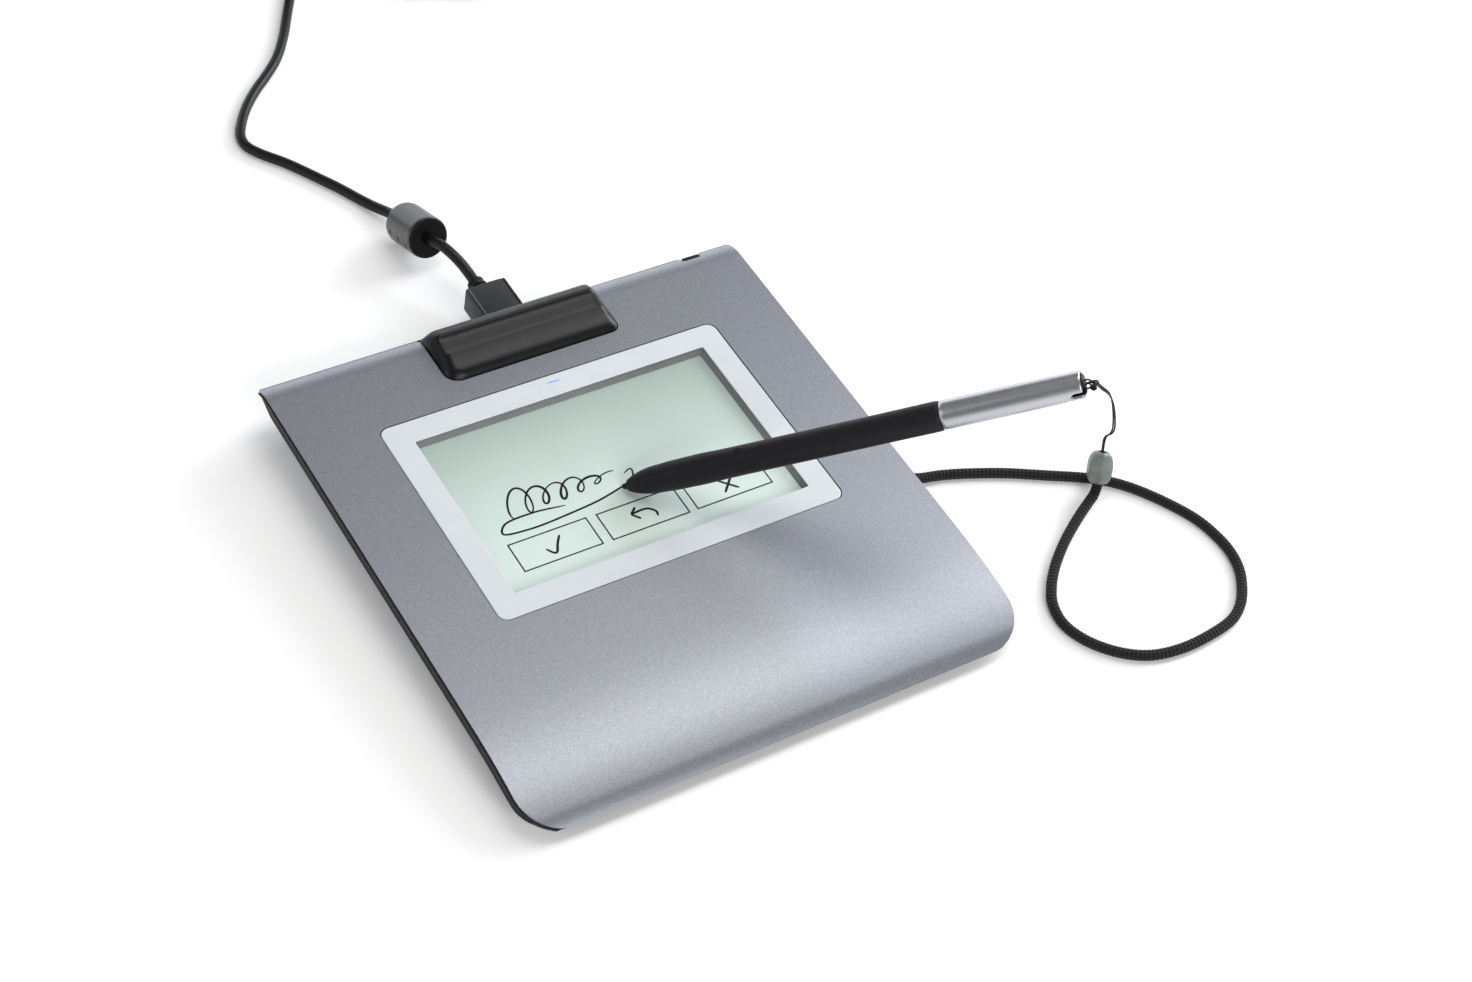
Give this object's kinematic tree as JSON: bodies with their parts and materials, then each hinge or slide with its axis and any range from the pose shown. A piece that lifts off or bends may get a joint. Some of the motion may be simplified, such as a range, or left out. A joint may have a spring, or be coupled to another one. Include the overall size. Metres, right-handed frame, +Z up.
{
  "type": "signature pad",
  "caption": "Signature pad with a monochrome screen in a light bezel, a pen tray, a tethered pen and a USB cable, in a thin grey housing that curves down at the front.",
  "frame": {"origin": "middle of the underside of the front rubber foot, on the table", "axes": "+X to the right, +Y to the back of the pad where the cable leaves, +Z up"},
  "size_m": [0.2409, 0.4478, 0.0798],
  "materials": {
    "metallic_shell": "satin paint with fine metal flakes",
    "light_bezel": "satin",
    "screen": "satin, pale green as the reflective screen seen through it",
    "lcd": "smooth",
    "light_blue": "clear, lit blue",
    "dark_plastic": "fine grain",
    "black_plastic": "satin",
    "circuit_board": "solder resist",
    "steel": "plain",
    "screw_steel": "zinc plated",
    "ribbon": "smooth film",
    "rubber": "matt",
    "plug_plastic": "moulded",
    "soft_grip": "soft matt",
    "pen_metal": "satin",
    "white_plastic": "smooth",
    "ferrite": "satin",
    "copper": "bare winding",
    "black_cord": "braided",
    "bead_plastic": "frosted",
    "cable_jacket": "satin jacket"
  },
  "bodies": {
    "pad": {"top_cover": "metallic_shell", "bezel_frame": "light_bezel", "screen_cover": "screen", "lcd_panel": "lcd", "lcd_frame": "dark_plastic", "light_guide": "light_blue", "status_led": "white_plastic", "sensor_board": "circuit_board", "shield_plate": "steel", "main_board": "circuit_board", "usb_socket": "steel", "lcd_ribbon": "ribbon", "base_cover": "dark_plastic", "pen_tray": "black_plastic", "front_foot": "rubber", "rear_foot_left": "rubber", "rear_foot_right": "rubber", "lock_plate": "steel", "tether_anchor": "rubber", "tether_stop": "steel", "tether_cord": "black_cord", "tether_bead": "bead_plastic", "case_screw_1": "screw_steel", "case_screw_2": "screw_steel", "case_screw_3": "screw_steel", "case_screw_4": "screw_steel", "board_screw_1": "screw_steel", "board_screw_2": "screw_steel", "board_screw_3": "screw_steel", "board_screw_4": "screw_steel"},
    "pen": {"pen_grip": "soft_grip", "pen_barrel": "pen_metal", "pen_end_plug": "black_plastic", "nib_holder": "white_plastic", "pressure_pad": "rubber", "pen_ferrite": "ferrite", "pen_coil": "copper", "pen_board": "circuit_board", "tether_string": "black_cord"},
    "nib": {"pen_nib": "black_plastic"},
    "usb_cable": {"usb_plug": "plug_plastic", "usb_plug_shell": "steel", "plug_strain_relief": "plug_plastic", "cable_lead": "cable_jacket", "ferrite_core": "ferrite", "cable_run": "cable_jacket", "cable_coil": "cable_jacket", "cable_tie": "rubber", "usb_a_strain_relief": "plug_plastic", "usb_a_plug": "plug_plastic", "usb_a_shell": "steel", "usb_a_insert": "white_plastic"}
  },
  "joints": [
    {"name": "pen_lift", "type": "slide", "parent": "pad", "child": "pen", "axis": [0, -0.0436, 0.999], "range_m": [0, 0.02]},
    {"name": "nib_press", "type": "slide", "parent": "pen", "child": "nib", "axis": [0.725, -0.5048, 0.4686], "range_m": [0, 0.0003], "stiffness_N_per_m": 1500},
    {"name": "usb_plug_pull", "type": "slide", "parent": "pad", "child": "usb_cable", "axis": [0, 0.999, 0.0436], "range_m": [0, 0.012]}
  ]
}
